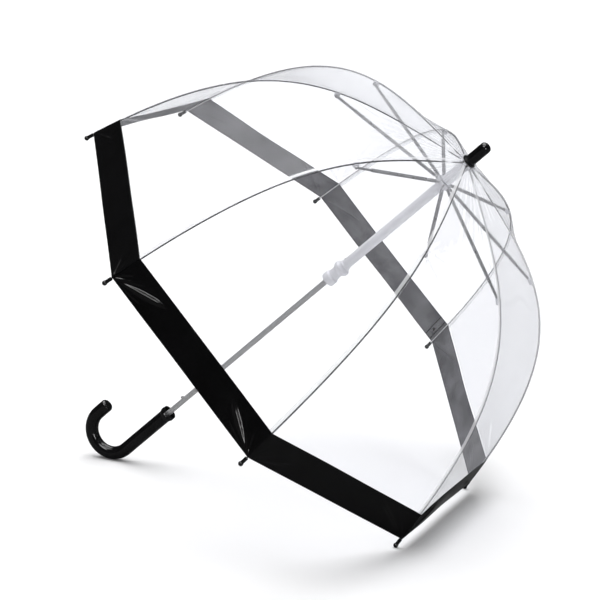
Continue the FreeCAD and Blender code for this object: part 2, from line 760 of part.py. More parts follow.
def film_slice(inner, outer, low, high):
    """The film between two heights of a flat-ruled panel.

    The dome's section halfway between two ribs is swept straight across to both ribs' planes.
    inner and outer are offsets from the ribs' wires.
    """
    half_pitch = math.radians(PITCH / 2)
    narrowing = math.cos(half_pitch)
    inside = dome_curve(inner, narrowing)
    outside = dome_curve(outer, narrowing)
    top_edge = Part.makeLine(inside.Vertexes[0].Point, outside.Vertexes[0].Point)
    rim_edge = Part.makeLine(inside.Vertexes[-1].Point, outside.Vertexes[-1].Point)
    face = Part.Face(Part.Wire(Part.__sortEdges__([inside, rim_edge, outside, top_edge])))
    wide = size("rim_radius")
    face.translate(Vector(0, -wide, 0))
    ruled = face.extrude(Vector(0, 2 * wide, 0))
    start = Vector(size("seam_gap") / 2 / math.sin(half_pitch), 0, low)
    across = Vector(2 * wide * math.cos(half_pitch), 2 * wide * math.sin(half_pitch), 0)
    mirrored = Vector(across.x, -across.y, 0)
    sides = Part.makePolygon([start, start + mirrored, start + across, start])
    wedge = Part.Face(sides).extrude(Vector(0, 0, high - low))
    return ruled.common(wedge)


def film_offsets():
    inner = size("wire_radius") + size("film_gap")
    return inner, inner + size("film_thickness")


def make_gore(number):
    """The clear part of the panel between two ribs."""
    inner, outer = film_offsets()
    gore = doc.addObject("Part::Feature", f"gore_{number}")
    high = size("top_height") + 10
    gore.Shape = film_slice(inner, outer, size("border_height"), high)
    return finish(gore, f"gore_{number}", about_shaft(azimuth(number + 0.5)))


def make_border(number):
    """The coloured border of the panel between two ribs, down to the rim."""
    inner, outer = film_offsets()
    border = doc.addObject("Part::Feature", f"border_{number}")
    border.Shape = film_slice(inner, outer, -10, size("border_height"))
    return finish(border, f"border_{number}", about_shaft(azimuth(number + 0.5)))


def make_tie_strap(number):
    """A short strap folded flat against the border's inside, beside rib number."""
    film_inner = film_offsets()[0]
    inner = film_inner - 0.1 - size("strap_thickness")
    margin = size("strap_margin")
    low, high = margin, size("border_height") - margin
    whole = film_slice(inner, film_inner - 0.1, low, high)
    near = -size("rim_radius") * math.sin(math.radians(PITCH / 2)) + size("strap_from_rib")
    corner = Vector(0, near, low - 1)
    keep = Part.makeBox(2 * size("rim_radius"), size("strap_width"), high - low + 2, corner)
    strap = doc.addObject("Part::Feature", "tie_strap")
    strap.Shape = whole.common(keep)
    return finish(strap, "tie_strap", about_shaft(azimuth(number + 0.5)))


# --- the whole umbrella ---

make_shaft_tube()
make_crown_hub()
make_ring_wire("crown_ring_wire", "crown_ring_radius", CROWN_PIVOT.z)
make_crown_patch()
make_ferrule()
make_handle()
make_hook_cap()
make_catch("top_catch", "top_nose_reach", RUNNER_PIVOT.z - size("window_down"))
make_catch("bottom_catch", "bottom_nose_reach", size("top_height") - size("bottom_catch_depth"))
make_runner()
make_ring_wire("runner_ring_wire", "runner_ring_radius", RUNNER_PIVOT.z)
for rib_number in range(1, RIB_COUNT + 1):
    make_rib(rib_number)
    make_clip(rib_number)
    make_tip(rib_number)
    make_stretcher(rib_number)
    make_gore(rib_number)
    make_border(rib_number)
make_tie_strap(6)
doc.recompute()


def whole_box():
    box = FreeCAD.BoundBox()
    for piece in pieces:
        box.add(piece.Shape.optimalBoundingBox())
    return box


box = whole_box()
centring = Placement(Vector(-(box.XMin + box.XMax) / 2, -(box.YMin + box.YMax) / 2, -box.ZMin), Rotation())
for piece in pieces:
    piece.Placement = centring.multiply(piece.Placement)
doc.recompute()

for item in doc.Objects:
    if "Invalid" in item.State or "Error" in item.State:
        raise RuntimeError(f"{item.Label} failed: {item.State}")
for piece in pieces:
    if piece.Shape.isNull() or not piece.Shape.isValid() or not piece.Shape.Solids:
        raise RuntimeError(f"{piece.Label} has no sound solid")

os.makedirs("parts", exist_ok=True)
for piece in pieces:
    piece.Shape.exportStep(f"parts/{piece.Label}.step")
box = whole_box()
print(f"{len(pieces)} pieces, lean {LEAN:.4f} degrees, origin moved by {centring.Base}")
print(f"box {box.XLength:.2f} x {box.YLength:.2f} x {box.ZLength:.2f}, lowest {box.ZMin:.4f}")
print(f"crown pivot {CROWN_PIVOT}, runner pivot {RUNNER_PIVOT}, rib pivot {RIB_PIVOT}")
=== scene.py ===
"""Clear bubble umbrella lying open on a pale floor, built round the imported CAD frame.

Lengths are in metres. The film is built in the shaft's own axes: radius from the shaft, height
above the plane of the rim, and an angle round the shaft, which the record's joints give.
"""
import json
import math

import bmesh
import bpy
import numpy as np
from mathutils import Matrix, Vector


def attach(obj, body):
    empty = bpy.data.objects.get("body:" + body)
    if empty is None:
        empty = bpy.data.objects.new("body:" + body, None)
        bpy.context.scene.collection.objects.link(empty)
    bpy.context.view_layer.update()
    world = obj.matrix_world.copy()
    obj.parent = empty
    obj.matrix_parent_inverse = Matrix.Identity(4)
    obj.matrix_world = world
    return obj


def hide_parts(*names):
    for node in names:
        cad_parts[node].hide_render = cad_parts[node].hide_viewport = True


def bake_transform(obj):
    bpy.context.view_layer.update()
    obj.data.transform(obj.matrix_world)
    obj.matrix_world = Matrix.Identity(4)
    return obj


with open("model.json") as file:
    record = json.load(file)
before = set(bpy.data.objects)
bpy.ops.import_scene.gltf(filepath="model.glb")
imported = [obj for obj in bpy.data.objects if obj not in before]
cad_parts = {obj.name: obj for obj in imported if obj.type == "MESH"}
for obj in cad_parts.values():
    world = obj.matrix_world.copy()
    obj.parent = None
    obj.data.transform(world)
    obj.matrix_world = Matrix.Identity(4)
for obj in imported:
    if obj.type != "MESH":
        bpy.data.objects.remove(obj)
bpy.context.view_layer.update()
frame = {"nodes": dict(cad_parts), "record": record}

RECORD = frame["record"]
NODES = frame["nodes"]
JOINTS = {joint["name"]: joint for joint in RECORD["behaviour"]["joints"]}
RIBS = sum(name.startswith("rib_") and name.endswith("_hinge") for name in JOINTS)
HALF_PITCH = math.pi / RIBS

# The dome's section along a rib, as the CAD has it: a Bezier curve's poles, (radius, height).
DOME_POLES = np.array(((0.010, 0.306), (0.1704, 0.2685), (0.2665, 0.253), (0.330, 0.0)))
# How far the middle of the film lies outside that section.
FILM_OFFSET = 0.00155
FILM_THICKNESS = 0.0003
# The black border's height, measured along the shaft.
BORDER_HEIGHT = 0.038
# The ribs' clips, as a distance along the section from its top.
CLIP_ARC = 0.1655
STRAP_RIB = 6


# --- camera, floor and lights ---

SENSOR_WIDTH = 36
LENS = 125.2
CAMERA_REACH = 50
CAMERA_PLACE = (0.9708, -2.3384, 0.8433)
CAMERA_AIM = Vector((0.0053, -0.0019, 0.2507))
CAMERA_TILT = math.radians(2.84)

# Where the softbox is, the cosines of the angles between which it fades out, and how bright it and
# the room are: first as glossy faces mirror them, then as they fill the shadows.
SOFTBOX_TOWARD = Vector((-0.12, 0.14, 0.97)).normalized()
SOFTBOX_EDGE = (math.cos(math.radians(38)), math.cos(math.radians(24)))
MIRRORED_ROOM = 0.05
MIRRORED_SOFTBOX = 4.2
FILLED_ROOM = 0.48
FILLED_SOFTBOX = 2.55

# Strip lights: name, place, width and height, power in watts. All point at STRIP_AIM.
STRIP_LIGHTS = (
    ("strip_above", (-0.05, -1.65, 2.1), (1.9, 0.5), 26),
    ("strip_beside", (2.1, -2.3, 0.8), (0.5, 1.3), 22),
)
STRIP_AIM = Vector((0, 0, 0.2))

FLOOR_HALF = 60
FLOOR_COLOR = (0.90, 0.90, 0.905)
FLOOR_TINT = 0.985
# Painted shade in reflections: how much darker the floor is in a mirror image, the share of the dark
# colour there.
FLOOR_REFLECTION_SHADE = 0.93
FLOOR_REFLECTION_SHADE_COLOR = (0.05, 0.05, 0.05, 1)

WHITE = (1, 1, 1, 1)


def add_camera():
    """The photograph's viewpoint: low, from the crook's right, with a slight tilt."""
    data = bpy.data.cameras.new("camera")
    data.sensor_width = SENSOR_WIDTH
    data.lens = LENS
    data.clip_end = CAMERA_REACH
    camera = bpy.data.objects.new("camera", data)
    bpy.context.scene.collection.objects.link(camera)
    camera.location = CAMERA_PLACE
    look = (CAMERA_AIM - camera.location).to_track_quat("-Z", "Y").to_matrix()
    camera.rotation_euler = (look @ Matrix.Rotation(CAMERA_TILT, 3, "Z")).to_euler()
    bpy.context.scene.camera = camera


def add_world():
    """A wide softbox overhead in a dim room with a white backdrop; the room fills the shadows."""
    world = bpy.data.worlds.new("studio")
    world.use_nodes = True
    tree = world.node_tree
    coords = tree.nodes.new("ShaderNodeTexCoord")
    path = tree.nodes.new("ShaderNodeLightPath")

    facing = tree.nodes.new("ShaderNodeVectorMath")
    facing.operation = "DOT_PRODUCT"
    facing.inputs[1].default_value = SOFTBOX_TOWARD
    tree.links.new(coords.outputs["Generated"], facing.inputs[0])
    lights = []
    for room, softbox in ((MIRRORED_ROOM, MIRRORED_SOFTBOX), (FILLED_ROOM, FILLED_SOFTBOX)):
        cap = tree.nodes.new("ShaderNodeMapRange")
        cap.interpolation_type = "SMOOTHSTEP"
        cap.inputs["From Min"].default_value, cap.inputs["From Max"].default_value = SOFTBOX_EDGE
        cap.inputs["To Min"].default_value, cap.inputs["To Max"].default_value = room, softbox
        tree.links.new(facing.outputs["Value"], cap.inputs["Value"])
        light = tree.nodes.new("ShaderNodeBackground")
        light.inputs["Color"].default_value = WHITE
        tree.links.new(cap.outputs["Result"], light.inputs["Strength"])
        lights.append(light)
    mirrored, filled = lights
    backdrop = tree.nodes["Background"]
    backdrop.inputs["Color"].default_value = WHITE
    shown = mirrored
    for ray, other in (("Is Diffuse Ray", filled), ("Is Camera Ray", backdrop)):
        mix = tree.nodes.new("ShaderNodeMixShader")
        tree.links.new(path.outputs[ray], mix.inputs[0])
        tree.links.new(shown.outputs[0], mix.inputs[1])
        tree.links.new(other.outputs[0], mix.inputs[2])
        shown = mix
    tree.links.new(shown.outputs[0], tree.nodes["World Output"].inputs["Surface"])
    bpy.context.scene.world = world


def add_strip_light(name, place, size, power):
    """A strip light that only glossy faces show, as thin highlights."""
    data = bpy.data.lights.new(name, "AREA")
    data.shape = "RECTANGLE"
    data.size, data.size_y = size
    data.energy = power
    strip = bpy.data.objects.new(name, data)
    bpy.context.scene.collection.objects.link(strip)
    strip.location = place
    aim = STRIP_AIM - strip.location
    strip.rotation_euler = aim.to_track_quat("-Z", "Y").to_euler()
    strip.visible_camera = False
    strip.visible_diffuse = False
    strip.visible_transmission = False


def add_floor():
    """A wide white floor."""
    mesh = bpy.data.meshes.new("floor")
    corners = [(x * FLOOR_HALF, y * FLOOR_HALF, 0) for x, y in ((-1, -1), (1, -1), (1, 1), (-1, 1))]
    mesh.from_pydata(corners, [], [(0, 1, 2, 3)])
    floor = bpy.data.objects.new("floor", mesh)
    bpy.context.scene.collection.objects.link(floor)
    floor.data.materials.append(floor_material())


# --- materials ---

class Shade:
    """A material's node tree with short ways to add and join nodes."""

    def __init__(self, name):
        self.material = bpy.data.materials.new(name)
        self.material.use_nodes = True
        self.tree = self.material.node_tree
        self.surface = self.tree.nodes["Principled BSDF"]
        self.output = self.tree.nodes["Material Output"]

    def node(self, kind, **values):
        made = self.tree.nodes.new(kind)
        for key, value in values.items():
            setattr(made, key, value)
        return made

    def join(self, source, target):
        self.tree.links.new(source, target)

    def feed(self, **sources):
        """Joins outputs to the surface's inputs, named with _ for a space."""
        for key, source in sources.items():
            self.join(source, self.surface.inputs[key.replace("_", " ")])

    def set(self, **values):
        """Sets the surface's own inputs, named with _ for a space."""
        for key, value in values.items():
            socket = self.surface.inputs[key.replace("_", " ")]
            socket.default_value = (*value, 1) if socket.type == "RGBA" else value

    def coords(self, kind="Object"):
        return self.node("ShaderNodeTexCoord").outputs[kind]

    def noise(self, scale, detail=4, roughness=0.5, stretch=None, kind="Object"):
        made = self.node("ShaderNodeTexNoise")
        made.inputs["Scale"].default_value = scale
        made.inputs["Detail"].default_value = detail
        made.inputs["Roughness"].default_value = roughness
        vector = self.coords(kind)
        if stretch:
            mapping = self.node("ShaderNodeMapping")
            mapping.inputs["Scale"].default_value = stretch
            self.join(vector, mapping.inputs["Vector"])
            vector = mapping.outputs["Vector"]
        self.join(vector, made.inputs["Vector"])
        return made.outputs["Fac"]

    def ramp(self, factor, low, high):
        """Maps a factor from low (position, colour) to high (position, colour)."""
        made = self.node("ShaderNodeValToRGB")
        for element, (position, color) in zip(made.color_ramp.elements, (low, high)):
            element.position = position
            element.color = (*color, 1)
        self.join(factor, made.inputs["Fac"])
        return made.outputs["Color"]

    def span(self, factor, low, high, start=0.0, end=1.0):
        """Maps a factor from low to high onto start to end, and no further."""
        made = self.node("ShaderNodeMapRange")
        made.inputs["From Min"].default_value = low
        made.inputs["From Max"].default_value = high
        made.inputs["To Min"].default_value = start
        made.inputs["To Max"].default_value = end
        self.join(factor, made.inputs["Value"])
        return made.outputs["Result"]

    def math(self, operation, first, second):
        made = self.node("ShaderNodeMath", operation=operation)
        for socket, value in zip(made.inputs, (first, second)):
            if isinstance(value, (int, float)):
                socket.default_value = value
            else:
                self.join(value, socket)
        return made.outputs["Value"]

    def vector_math(self, operation, *vectors):
        """A vector node on one or two outputs, for its caller to take an output from."""
        made = self.node("ShaderNodeVectorMath", operation=operation)
        for socket, vector in zip(made.inputs, vectors):
            self.join(vector, socket)
        return made

    def mix_colors(self, factor, first, second):
        """The first colour where the factor is 0, the second where it is 1."""
        made = self.node("ShaderNodeMix", data_type="RGBA")
        factor_in, first_in, second_in, color_out = 0, 6, 7, 2
        self.join(factor, made.inputs[factor_in])
        self.join(first, made.inputs[first_in])
        self.join(second, made.inputs[second_in])
        return made.outputs[color_out]

    def mix_shaders(self, factor, first, second):
        """The first shader where the factor is 0, the second where it is 1, as the finish."""
        made = self.node("ShaderNodeMixShader")
        self.join(factor, made.inputs[0])
        self.join(first.outputs[0], made.inputs[1])
        self.join(second.outputs[0], made.inputs[2])
        self.join(made.outputs[0], self.output.inputs["Surface"])

    def bump(self, height, strength, distance):
        made = self.node("ShaderNodeBump")
        made.inputs["Strength"].default_value = strength
        made.inputs["Distance"].default_value = distance
        self.join(height, made.inputs["Height"])
        self.feed(Normal=made.outputs["Normal"])
        return made.outputs["Normal"]


def floor_material():
    """White, with painted shade in its reflections: glossy faces mirror a dark copy of it."""
    shade = Shade("floor")
    shade.set(Roughness=0.9)
    tint = tuple(c * FLOOR_TINT for c in FLOOR_COLOR)
    color = shade.ramp(shade.noise(scale=3, detail=2), (0.3, tint), (0.7, FLOOR_COLOR))
    shade.feed(Base_Color=color)
    # Painted shade: glossy rays see mostly a dark copy of the floor.
    glossy = shade.node("ShaderNodeLightPath").outputs["Is Glossy Ray"]
    dark = shade.node("ShaderNodeBsdfDiffuse")
    dark.inputs["Color"].default_value = FLOOR_REFLECTION_SHADE_COLOR
    shade.mix_shaders(shade.math("MULTIPLY", glossy, FLOOR_REFLECTION_SHADE), shade.surface, dark)
    return shade.material


# The film's map coordinates: across is the distance from the panel's far seam, and along is the
# distance along the rib plus the panel's number. INNER_FACE is added to along on the inner face, so
# that a material can tell the two faces apart.
INNER_FACE = 20
FACE_EDGE = (0.5 * INNER_FACE, 0.6 * INNER_FACE)
# The milky weld of two clear panels: where it starts and ends, from the seam, how soft these edges
# are, and how dense it is.
SEAM_START = 0.0016
SEAM_START_EDGE = 0.0002
SEAM_END = 0.0056
SEAM_END_EDGE = 0.0003
SEAM_DENSITY = 0.55
# Where the inner face's painted sheen fades out, from the border's edges, and how much of it is left
# there.
SHEEN_FADE_EDGES = (0.0008, 0.0014)
FADED_SHEEN_SHARE = 0.2


def clear_film_material():
    """Thin clear vinyl: see-through face on, brighter at a glance, with a milky weld at each seam."""
    shade = Shade("clear_film")
    pulls = shade.noise(scale=1, detail=4, roughness=0.55, stretch=(70, 11, 1), kind="UV")
    fine = shade.noise(scale=150, detail=3, kind="UV")
    height = shade.math("ADD", pulls, shade.math("MULTIPLY", fine, 0.1))
    normal = shade.bump(height, strength=0.22, distance=0.0009)
    shade.set(Base_Color=(0.90, 0.905, 0.93), Roughness=0.05, IOR=1.5, Specular_IOR_Level=0.7)
    shade.set(Coat_Weight=0.5, Coat_IOR=1.8, Coat_Roughness=0.03)
    shade.feed(Coat_Normal=normal)
    place = shade.node("ShaderNodeSeparateXYZ")
    shade.join(shade.coords("UV"), place.inputs["Vector"])
    across, along = place.outputs["X"], place.outputs["Y"]
    starts = shade.span(across, SEAM_START - SEAM_START_EDGE, SEAM_START + SEAM_START_EDGE)
    ends = shade.span(across, SEAM_END - SEAM_END_EDGE, SEAM_END + SEAM_END_EDGE, SEAM_DENSITY, 0.0)
    outer_face = shade.span(along, *FACE_EDGE, 1.0, 0.0)
    weld = shade.math("MULTIPLY", shade.math("MULTIPLY", starts, ends), outer_face)
    weight = shade.node("ShaderNodeLayerWeight")
    weight.inputs["Blend"].default_value = 0.18
    shade.join(normal, weight.inputs["Normal"])
    haze = shade.span(shade.noise(scale=9, detail=3, kind="UV"), 0.35, 0.75, 0.025, 0.055)
    glance = shade.math("ADD", haze, shade.math("MULTIPLY", weight.outputs["Fresnel"], 0.25))
    clear = shade.node("ShaderNodeBsdfTransparent")
    clear.inputs["Color"].default_value = (0.985, 0.987, 0.995, 1)
    shade.mix_shaders(shade.math("MAXIMUM", glance, weld), clear, shade.surface)
    return shade.material


def border_material(section):
    """Black vinyl film with small pulls across it, glossy outside; its inner face is painted paler
    grey as a painted sheen.
    """
    shade = Shade("border_film")
    pulls = shade.noise(scale=1, detail=4, roughness=0.55, stretch=(120, 22, 1), kind="UV")
    shade.bump(pulls, strength=0.3, distance=0.001)
    shade.set(IOR=1.45, Specular_IOR_Level=0.45)
    place = shade.node("ShaderNodeSeparateXYZ")
    shade.join(shade.coords("UV"), place.inputs["Vector"])
    along = place.outputs["Y"]
    # The inner face is painted a paler grey, a painted sheen for the light it mirrors, fading out
    # near the top and rim edges.
    inner_face = shade.span(along, *FACE_EDGE)
    arc = shade.math("FRACT", along, 0)
    near, far = SHEEN_FADE_EDGES
    top_sheen_fade = shade.span(arc, section.border + near, section.border + far, FADED_SHEEN_SHARE, 1.0)
    rim_sheen_fade = shade.span(arc, section.length - far, section.length - near, 1.0, FADED_SHEEN_SHARE)
    inside = shade.math("MULTIPLY", inner_face, shade.math("MULTIPLY", top_sheen_fade, rim_sheen_fade))
    tone = shade.noise(scale=26, detail=5, roughness=0.6, kind="UV")
    outer = shade.ramp(tone, (0.3, (0.0012, 0.0012, 0.0014)), (0.8, (0.003, 0.003, 0.0034)))
    # Painted sheen: the inner face's lighter grey tone.
    inner = shade.ramp(tone, (0.36, (0.075, 0.075, 0.083)), (0.66, (0.185, 0.185, 0.198)))
    gloss = shade.span(tone, 0.3, 0.8, 0.09, 0.15)
    roughness = shade.math("ADD", gloss, shade.math("MULTIPLY", inside, 0.2))
    shade.feed(Base_Color=shade.mix_colors(inside, outer, inner), Roughness=roughness)
    return shade.material


def black_gloss_material():
    """Moulded black plastic, polished, with a faint orange-peel."""
    shade = Shade("black_gloss")
    shade.bump(shade.noise(scale=420, detail=2), strength=0.1, distance=0.0002)
    dark, light = (0.0015, 0.0015, 0.0018), (0.004, 0.004, 0.0045)
    color = shade.ramp(shade.noise(scale=35), (0.3, dark), (0.75, light))
    roughness = shade.span(shade.noise(scale=90, detail=3), 0.3, 0.7, 0.09, 0.14)
    shade.feed(Base_Color=color, Roughness=roughness)
    shade.set(Specular_IOR_Level=0.6)
    return shade.material


def frosted_material():
    """Translucent frosted plastic of the runner, hub and clips."""
    shade = Shade("frosted_plastic")
    shade.bump(shade.noise(scale=300, detail=3), strength=0.15, distance=0.0002)
    dark, light = (0.66, 0.66, 0.69), (0.78, 0.78, 0.81)
    color = shade.ramp(shade.noise(scale=40, detail=3), (0.3, dark), (0.75, light))
    roughness = shade.span(shade.noise(scale=70, detail=3), 0.3, 0.7, 0.32, 0.45)
    shade.feed(Base_Color=color, Roughness=roughness)
    shade.set(Subsurface_Weight=0.25, Subsurface_Radius=(0.004, 0.004, 0.004), Subsurface_Scale=1.0)
    return shade.material


def metal_material(name, dark, light, roughness, metallic=1.0, scale=80):
    """Plated or bare steel with fine marks; roughness is its lowest and highest."""
    shade = Shade(name)
    marks = shade.noise(scale, roughness=0.55)
    shade.bump(marks, strength=0.08, distance=0.0002)
    color = shade.ramp(marks, (0.3, dark), (0.7, light))
    gloss = shade.span(shade.noise(scale * 1.7, detail=3), 0.3, 0.7, *roughness)
    shade.feed(Base_Color=color, Roughness=gloss)
    shade.set(Metallic=metallic)
    return shade.material


def rib_material(centre):
    """A rib's wire: painted shade, near black, on its outer side, and a paler painted lit tone on the
    side that faces centre.
    """
    shade = Shade("rib_wire")
    marks = shade.noise(scale=90, roughness=0.55)
    shade.bump(marks, strength=0.08, distance=0.0002)
    outward = shade.vector_math("SUBTRACT", shade.coords())
    outward.inputs[1].default_value = centre
    unit = shade.vector_math("NORMALIZE", outward.outputs[0])
    facing = shade.vector_math("DOT_PRODUCT", unit.outputs[0], shade.coords("Normal"))
    # Painted light: the side away from centre is painted dark as shade, the side towards it pale as
    # lit.
    shaded_side = shade.span(facing.outputs["Value"], -0.65, -0.35)
    painted_lit_color = shade.ramp(marks, (0.3, (0.62, 0.62, 0.63)), (0.7, (0.74, 0.74, 0.75)))
    black = shade.ramp(marks, (0.3, (0.02, 0.02, 0.022)), (0.7, (0.045, 0.045, 0.048)))
    roughness = shade.span(shade.noise(scale=150, detail=3), 0.3, 0.7, 0.24, 0.34)
    shade.feed(Base_Color=shade.mix_colors(shaded_side, painted_lit_color, black), Roughness=roughness)
    shade.set(Metallic=0.15, Specular_IOR_Level=0.25)
    return shade.material


def make_materials(section, centre):
    """One material for each of the record's material slots."""
    return {
        "clear_film": clear_film_material(),
        "border_film": border_material(section),
        "black_gloss": black_gloss_material(),
        "frosted_plastic": frosted_material(),
        "chrome": metal_material(
            "chrome", (0.78, 0.78, 0.79), (0.84, 0.84, 0.85), (0.27, 0.30), 0.7, scale=600
        ),
        "steel_wire": metal_material(
            "steel_wire", (0.40, 0.40, 0.41), (0.52, 0.52, 0.53), (0.22, 0.32)
        ),
        "rib_wire": rib_material(centre),
        "stretcher_steel": metal_material(
            "stretcher_steel", (0.46, 0.46, 0.47), (0.60, 0.60, 0.61), (0.26, 0.38), 0.8
        ),
    }


# --- the shaft's axes ---

class ShaftAxes:
    """Turns (radius, height) at an angle round the shaft into points of the row frame."""

    def __init__(self):
        up = -np.array(JOINTS["runner_slide"]["axis"], float)
        self.up = up / np.linalg.norm(up)
        hinges = [JOINTS[f"rib_{i}_hinge"] for i in range(1, RIBS + 1)]
        pivots = [np.array(hinge["pos_m"], float) for hinge in hinges]
        self.crown = sum(pivots) / RIBS
        self.radials = []
        for hinge in hinges:
            across = np.array(hinge["axis"], float)
            self.radials.append(np.cross(across / np.linalg.norm(across), self.up))
        slope = (DOME_POLES[1, 1] - DOME_POLES[0, 1]) / (DOME_POLES[1, 0] - DOME_POLES[0, 0])
        pivot_radius = float(np.linalg.norm(pivots[0] - self.crown))
        crown_height = DOME_POLES[0, 1] + slope * (pivot_radius - DOME_POLES[0, 0])
        self.rim_centre = self.crown - self.up * crown_height

    def panel(self, number):
        """The unit vectors out through the middle of panel number and across it to its far rib."""
        out = self.radials[number - 1] + self.radials[number % RIBS]
        out = out / np.linalg.norm(out)
        return out, np.cross(self.up, out)

    def points(self, number, radius, height, across):
        """Points of a panel: radius and height on the ribs' section, across from -1 to 1."""
        out, side = self.panel(number)
        return (
            self.rim_centre
            + np.multiply.outer(radius * math.cos(HALF_PITCH), out)
            + np.multiply.outer(radius * math.sin(HALF_PITCH) * across, side)
            + np.multiply.outer(height, self.up)
        )


# --- the film ---

SECTION_POINTS = 4001


class Section:
    """The dome's section along a rib, by distance along it from the top."""

    def __init__(self):
        t = np.linspace(0, 1, SECTION_POINTS)[:, None]
        a, b, c, d = DOME_POLES
        line = (1 - t) ** 3 * a + 3 * (1 - t) ** 2 * t * b + 3 * (1 - t) * t * t * c + t ** 3 * d
        step = np.linalg.norm(np.diff(line, axis=0), axis=1)
        self.arc = np.concatenate(([0], np.cumsum(step)))
        self.line = line
        slope = np.gradient(line, axis=0)
        slope /= np.linalg.norm(slope, axis=1)[:, None]
        self.normal = np.stack([-slope[:, 1], slope[:, 0]], axis=1)
        self.length = self.arc[-1]
        self.border = float(np.interp(-BORDER_HEIGHT, -line[:, 1], self.arc))

    def at(self, arc, outward):
        """(radius, height) at distances along the section, moved outward along its normal."""
        point = [np.interp(arc, self.arc, self.line[:, k]) for k in (0, 1)]
        normal = [np.interp(arc, self.arc, self.normal[:, k]) for k in (0, 1)]
        return point[0] + normal[0] * outward, point[1] + normal[1] * outward

    def half_width(self, arc):
        """Half a panel's width from rib to rib, at distances along the section."""
        return self.at(arc, 0)[0] * math.sin(HALF_PITCH)


def smooth(x, low, high):
    """0 below low, 1 above high, with a smooth rise between."""
    t = np.clip((x - low) / (high - low), 0, 1)
    return t * t * (3 - 2 * t)


def turned(along, aside, angle):
    """Distances along a line that leaves a corner at an angle, and off to its side."""
    run = along * math.cos(angle) + aside * math.sin(angle)
    off = -along * math.sin(angle) + aside * math.cos(angle)
    return run, off


def crease(along, aside, angle, width, length, height):
    """A straight crease that leaves a corner at an angle and fades out at its length."""
    run, off = turned(along, aside, angle)
    narrow = width * (0.35 + 0.65 * np.clip(run / length, 0, 1))
    fade = smooth(run, 0.0, 0.006) * (1 - smooth(run, 0.45 * length, length))
    return height * np.exp(-((off / narrow) ** 2)) * fade


def pleat(along, aside, angle, width, length, slope):
    """A wedge-shaped pull from a corner: one leaning face up to a crest, and a short return."""
    run, off = turned(along, aside, angle)
    wide = width * smooth(run, 0.0, 0.55 * length) * (1 - smooth(run, 0.7 * length, length)) + 1e-6
    face = np.clip(1 - off / wide, 0, 1)
    back = np.exp(-((off / (0.4 * wide + 0.0004)) ** 2))
    return slope * wide * np.where(off > 0, face, back)


# Folds that fan from a corner: kind, angle in degrees up from straight across the panel, width,
# length, and height, or for a pleat its slope. First the border's corners at the rim.
BORDER_CREASES = (
    (pleat, 24, 0.0046, 0.072, 0.50),
    (pleat, 12, 0.0016, 0.050, 0.45),
    (crease, 40, 0.0018, 0.042, 0.0007),
    (crease, 58, 0.0016, 0.034, -0.0005),
)
# The clear film's corners at the border.
GORE_CREASES = (
    (crease, 18, 0.0042, 0.085, 0.0005),
    (crease, 34, 0.0036, 0.100, -0.0006),
    (crease, 49, 0.0034, 0.075, 0.0005),
    (crease, 66, 0.0034, 0.060, -0.0004),
)
# The clear film round the ribs' clips.
CLIP_CREASES = (
    (crease, -62, 0.0030, 0.050, 0.0006),
    (crease, -30, 0.0032, 0.060, -0.0006),
    (crease, 8, 0.0030, 0.055, 0.0006),
    (crease, 40, 0.0032, 0.050, -0.0005),
    (crease, 68, 0.0030, 0.060, 0.0005),
)
# Corners with no pleats, as (panel, side): -1 is the side of the panel's own rib, 1 the next rib's.
CALM_CORNERS = ((STRAP_RIB, -1), (1, -1), (1, 1))
# How much the folds differ from corner to corner: degrees, share of length, share of height.
VARIED_ANGLE = 4
VARIED_LENGTH = 0.18
VARIED_HEIGHT = 0.3

# How far the film pulls in between two ribs, where that grows, from the top, and its fade at the rim.
SLACK_DEPTH = 0.0045
SLACK_GROWS = (0.03, 0.16)
SLACK_FADES = 0.10
# Gathers under the crown: height, waves across the panel, and how far the panel's number shifts them.
GATHERS = ((0.00035, 19, 1), (0.0002, 31, 2))
GATHERS_GROW = (0.012, 0.03)
GATHERS_FADE = (0.06, 0.15)
# Ripples near the far seam; they grow and fade before the border.
RIPPLE_HEIGHT = 0.00035
RIPPLE_PITCH = 0.0075
RIPPLE_LEAN = 3
RIPPLE_REACH = 0.024
RIPPLES_GROW = (0.07, 0.03)
RIPPLES_FADE = 0.004
# Broad billows: height, waves along and across, and where they grow, from the top.
BILLOW_HEIGHT = 0.0007
BILLOW_ALONG = 41
BILLOW_ACROSS = 4.6
BILLOWS_GROW = (0.1, 0.2)
# The weld stands out from the panel as far as the weld's end.
WELD_HEIGHT = 0.0002
WELD_EDGE = 0.001


